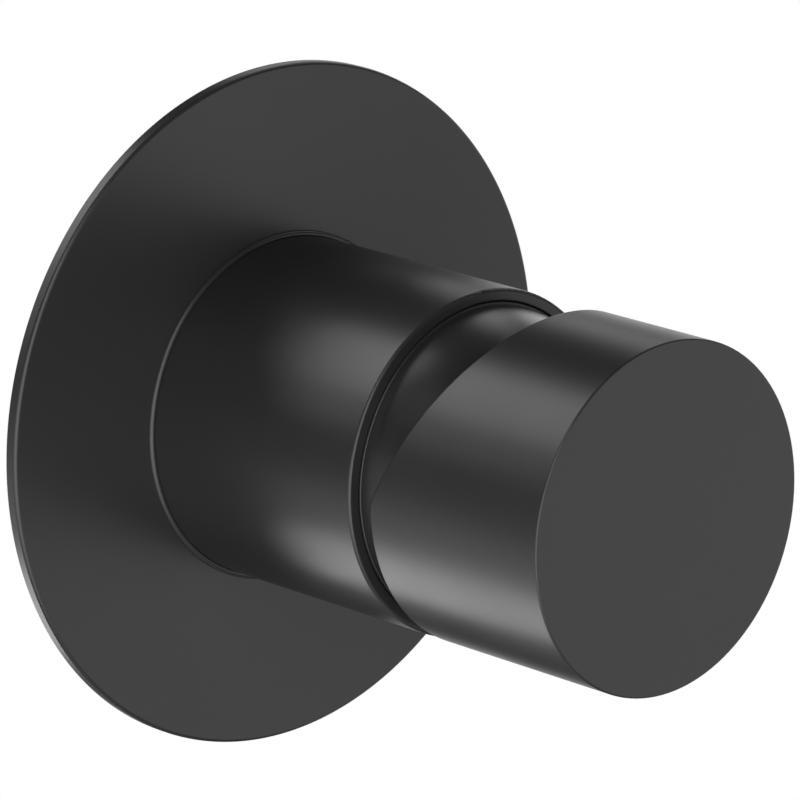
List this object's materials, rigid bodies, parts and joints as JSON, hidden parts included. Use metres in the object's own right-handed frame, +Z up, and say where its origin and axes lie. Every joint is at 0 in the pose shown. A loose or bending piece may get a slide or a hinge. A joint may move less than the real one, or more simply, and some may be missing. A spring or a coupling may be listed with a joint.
{
  "type": "concealed shower mixer",
  "caption": "Wall-mounted concealed shower mixer: round wall plate, tube sleeve and round tilting handle over a ceramic-disc cartridge in a brass function block.",
  "frame": {"origin": "where the mixer's axis meets the finished wall, in the plane of the wall plate's back rim", "axes": "+Y goes into the wall along the mixer's axis, so the mixer points along -Y, +Z is up and +X is to the right of someone facing the wall"},
  "size_m": [0.11, 0.1236, 0.11],
  "materials": {
    "black_plate": "matt black powder coat",
    "black_body": "matt black powder coat",
    "black_handle": "matt black powder coat",
    "black_plug": "moulded",
    "rubber": "moulded",
    "foam": "closed-cell foam",
    "raw_brass": "turned",
    "steel": "turned",
    "screen": "punched",
    "white_plastic": "moulded",
    "grey_plastic": "moulded",
    "red_plastic": "moulded",
    "ceramic": "lapped",
    "stem_brass": "die cast"
  },
  "bodies": {
    "fixed": {"wall_plate": "black_plate", "plate_ring": "rubber", "wall_gasket": "foam", "sleeve": "black_body", "sleeve_rings": "rubber", "function_block": "raw_brass", "fixing_screws": "steel", "hot_spigot": "raw_brass", "cold_spigot": "raw_brass", "mixed_spigot": "raw_brass", "spigot_rings": "rubber", "strainers": "screen", "cartridge_base": "white_plastic", "base_seals": "rubber", "disc_seals": "rubber", "fixed_disc": "ceramic", "cartridge_housing": "white_plastic", "retaining_nut": "raw_brass", "limit_ring": "red_plastic", "dome_cap": "black_body"},
    "rotor": {"turret": "grey_plastic", "pivot_pin": "steel"},
    "slider": {"disc_carrier": "grey_plastic", "moving_disc": "ceramic"},
    "lever": {"cartridge_stem": "stem_brass", "handle": "black_handle", "grub_screw": "steel", "screw_plug": "black_plug"}
  },
  "joints": [
    {"name": "temperature_turn", "type": "hinge", "parent": "fixed", "child": "rotor", "pos_m": [0, -0.0455, 0], "axis": [0, 1, 0], "range_deg": [-40, 40]},
    {"name": "flow_tilt", "type": "hinge", "parent": "rotor", "child": "lever", "pos_m": [0, -0.0455, 0], "axis": [-1, 0, 0], "range_deg": [0, 25]},
    {"name": "disc_slide", "type": "slide", "parent": "rotor", "child": "slider", "axis": [0, 0, -1], "range_m": [0, 0.0058]}
  ],
  "couplings": [
    {"joint": "disc_slide", "follows": "flow_tilt", "m_per_rad": 0.013076}
  ]
}
